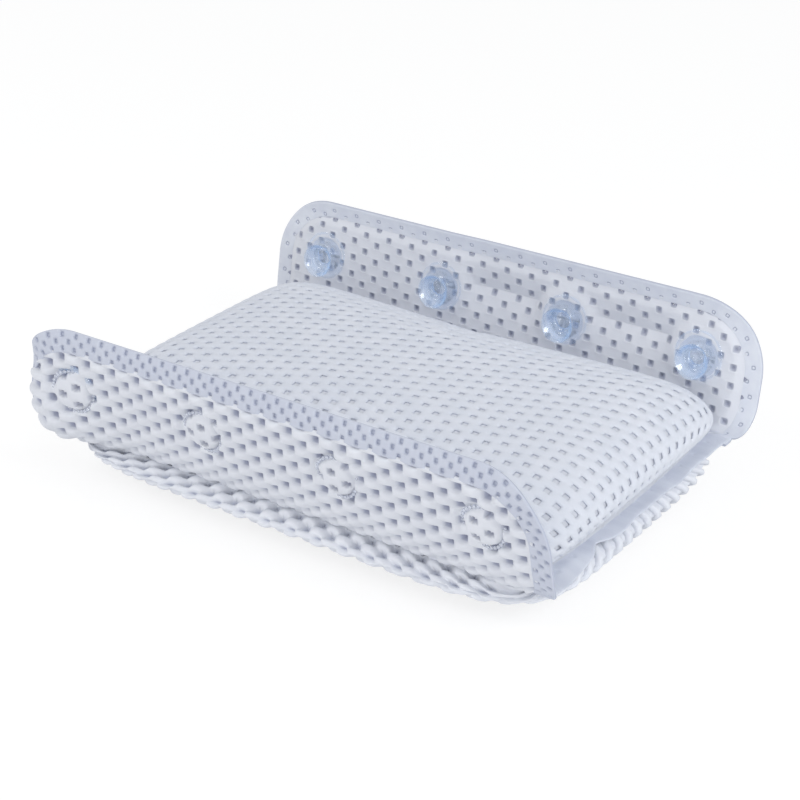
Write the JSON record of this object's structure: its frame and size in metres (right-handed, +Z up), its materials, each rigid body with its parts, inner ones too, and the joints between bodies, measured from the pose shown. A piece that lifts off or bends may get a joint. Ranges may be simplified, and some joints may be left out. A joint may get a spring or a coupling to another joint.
{
  "type": "bath pillow",
  "caption": "Cushioned bath pillow of open foam mesh with a filled pad between two folding flaps that carry suction cups for a tub wall.",
  "frame": {"origin": "middle of the flat patch that the pillow rests on", "axes": "+X along the pillow's length, +Y from the front flap to the rear flap, +Z up"},
  "size_m": [0.33, 0.2343, 0.0992],
  "materials": {
    "cobble_mesh": "matte foamed vinyl mesh, pale periwinkle white",
    "flat_mesh": "matte foamed vinyl mesh, flat side",
    "weld_border": "pressed vinyl, satin",
    "filling": "white fibre filling",
    "clear_vinyl": "clear vinyl with a blue tint, glossy"
  },
  "bodies": {
    "pillow": {"face_panel": "cobble_mesh", "back_panel": "flat_mesh", "filling_pad": "filling", "left_side_weld": "weld_border", "right_side_weld": "weld_border", "front_fold_weld": "weld_border", "rear_fold_weld": "weld_border"},
    "front_flap": {"front_flap_sheet": "cobble_mesh", "front_flap_border": "weld_border", "front_cup_1": "clear_vinyl", "front_weld_ring_1": "clear_vinyl", "front_cup_2": "clear_vinyl", "front_weld_ring_2": "clear_vinyl", "front_cup_3": "clear_vinyl", "front_weld_ring_3": "clear_vinyl", "front_cup_4": "clear_vinyl", "front_weld_ring_4": "clear_vinyl"},
    "rear_flap": {"rear_flap_sheet": "cobble_mesh", "rear_flap_border": "weld_border", "rear_cup_1": "clear_vinyl", "rear_weld_ring_1": "clear_vinyl", "rear_cup_2": "clear_vinyl", "rear_weld_ring_2": "clear_vinyl", "rear_cup_3": "clear_vinyl", "rear_weld_ring_3": "clear_vinyl", "rear_cup_4": "clear_vinyl", "rear_weld_ring_4": "clear_vinyl"}
  },
  "joints": [
    {"name": "front_flap_fold", "type": "hinge", "parent": "pillow", "child": "front_flap", "pos_m": [0, -0.098, 0.025], "axis": [1, 0, 0], "range_deg": [-20, 80]},
    {"name": "rear_flap_fold", "type": "hinge", "parent": "pillow", "child": "rear_flap", "pos_m": [0, 0.098, 0.025], "axis": [-1, 0, 0], "range_deg": [-15, 80]}
  ]
}
